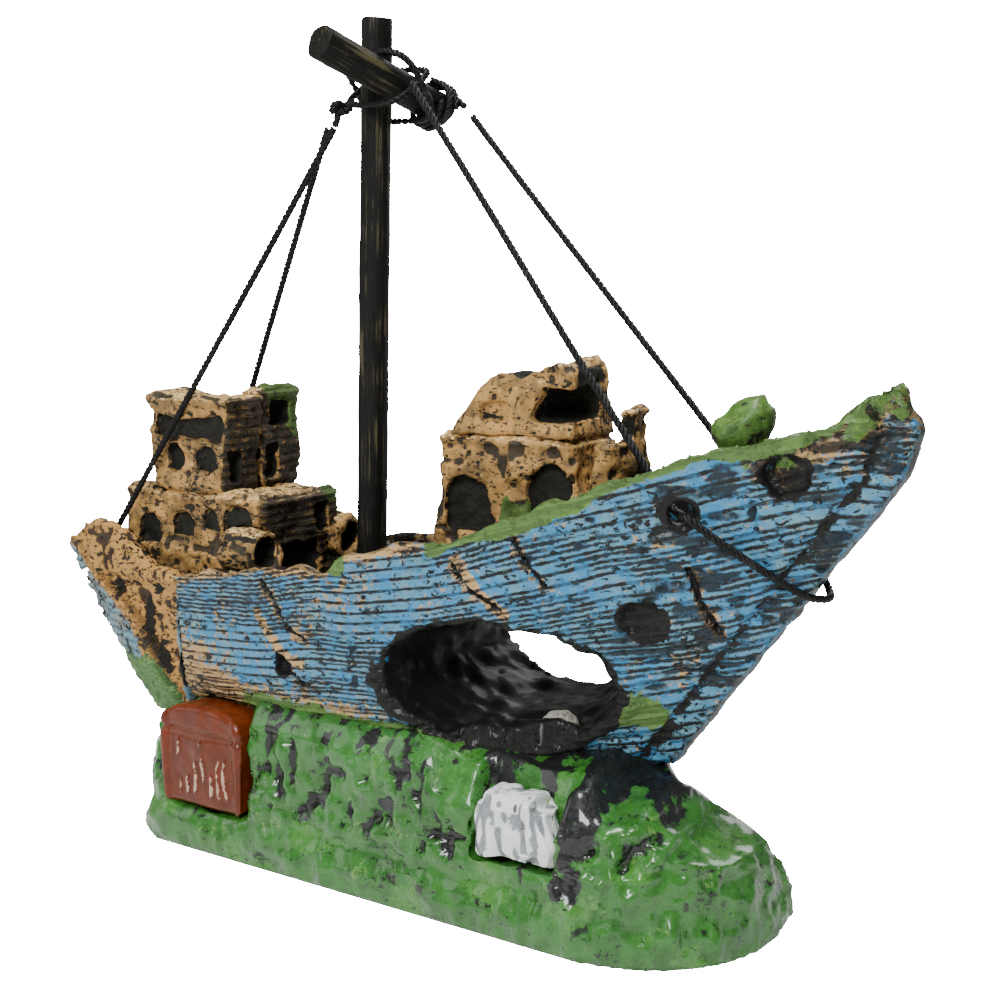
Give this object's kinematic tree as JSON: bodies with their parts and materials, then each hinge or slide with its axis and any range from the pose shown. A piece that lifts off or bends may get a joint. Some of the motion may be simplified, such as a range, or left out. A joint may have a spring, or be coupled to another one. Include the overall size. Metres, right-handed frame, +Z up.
{
  "type": "bubbling aquarium ornament",
  "caption": "Sunken sailing ship aquarium ornament on a mossy rock, with a wooden mast, cord rigging and an air stone in its holed hull.",
  "frame": {"origin": "middle of the ship's bounding box at the underside of the rock base", "axes": "+X towards the bow, +Y towards the port side, +Z up"},
  "size_m": [0.1275, 0.035, 0.1105],
  "materials": {
    "hull_paint": "satin painted resin, blue with a black wash",
    "stern_paint": "satin painted resin, grey blue",
    "castle_paint": "matte painted resin, tan with a black wash",
    "moss_paint": "gloss painted resin, moss green",
    "chest_paint": "gloss painted resin, brown red",
    "stone_paint": "gloss painted resin, white and grey",
    "stained_wood": "black stain, worn",
    "waxed_cord": "waxed braid",
    "air_stone": "porous sintered mineral",
    "air_tube": "moulded plastic"
  },
  "bodies": {
    "wreck": {"base_rock": "moss_paint", "hull": "hull_paint", "stern_quarter": "stern_paint", "stern_castle": "castle_paint", "stern_tower": "castle_paint", "stern_turret": "castle_paint", "barrel_starboard": "castle_paint", "barrel_port": "castle_paint", "fore_deckhouse": "castle_paint", "fore_cabin": "castle_paint", "fore_annex": "castle_paint", "bow_bollard": "moss_paint", "treasure_chest": "chest_paint", "pale_boulder": "stone_paint", "mast": "stained_wood", "stay_knot": "waxed_cord", "bow_stay": "waxed_cord", "stern_stay": "waxed_cord", "air_tube": "air_tube", "air_inlet": "air_tube"},
    "yard_body": {"yard": "stained_wood", "lashing_inner": "waxed_cord", "lashing_outer": "waxed_cord", "yard_wrap": "waxed_cord"},
    "stone": {"air_stone": "air_stone"}
  },
  "joints": [
    {"name": "yard_swivel", "type": "hinge", "parent": "wreck", "child": "yard_body", "pos_m": [-0.01085, 0, 0.1017], "axis": [0.0391, 0, 0.9992], "range_deg": [-6, 6]},
    {"name": "air_stone_lift", "type": "slide", "parent": "wreck", "child": "stone", "axis": [0, 0, 1], "range_m": [0, 0.004]}
  ]
}
